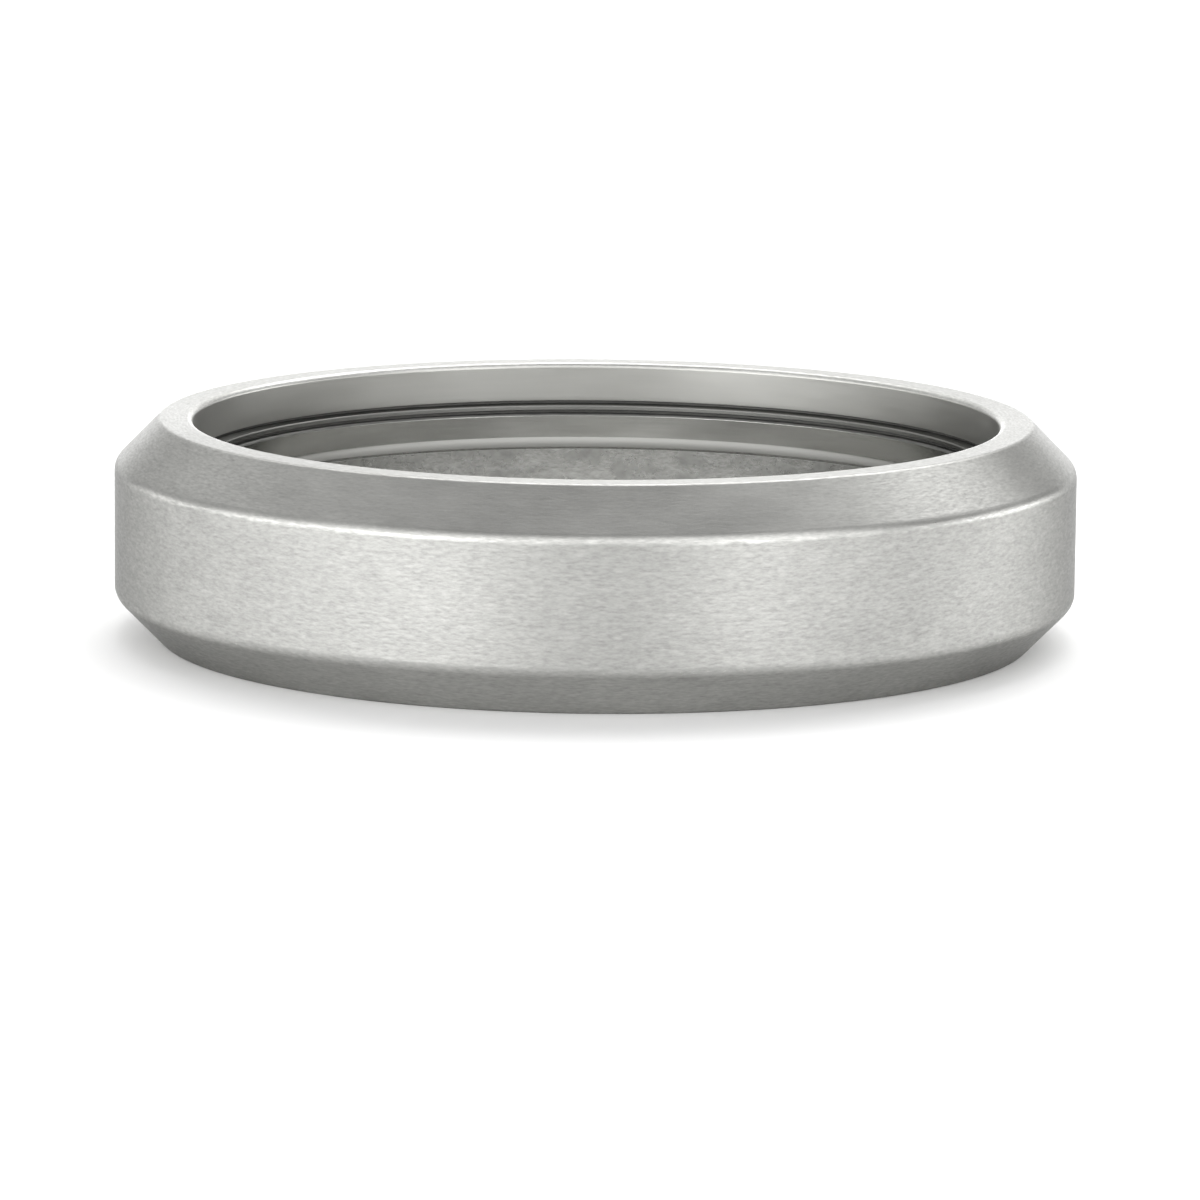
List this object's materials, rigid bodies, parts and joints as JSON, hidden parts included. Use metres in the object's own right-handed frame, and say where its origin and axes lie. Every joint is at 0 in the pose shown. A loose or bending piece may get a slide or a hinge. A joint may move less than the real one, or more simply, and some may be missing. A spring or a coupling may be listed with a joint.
{
  "type": "wedding band",
  "caption": "Flat bevelled wedding band: satin outer shell, polished inner sleeve with a recessed field, and a thin beaded seam ring at each end of the sleeve.",
  "frame": {"origin": "centre of the ring, on the finger's axis and halfway across the band's width", "axes": "+Z along the finger's axis; the band lies flat on its lower rim; X and Y are interchangeable"},
  "size_m": [0.0264, 0.0262, 0.006],
  "materials": {
    "satin_shell": "fine satin along the circumference, in grey titanium",
    "polished_sleeve": "soft polish with a mottled recessed field, in grey titanium",
    "polished_bead": "polished, in grey titanium"
  },
  "bodies": {
    "root": {"outer_band": "satin_shell", "inner_sleeve": "polished_sleeve", "upper_seam_ring": "polished_bead", "lower_seam_ring": "polished_bead"}
  },
  "joints": []
}
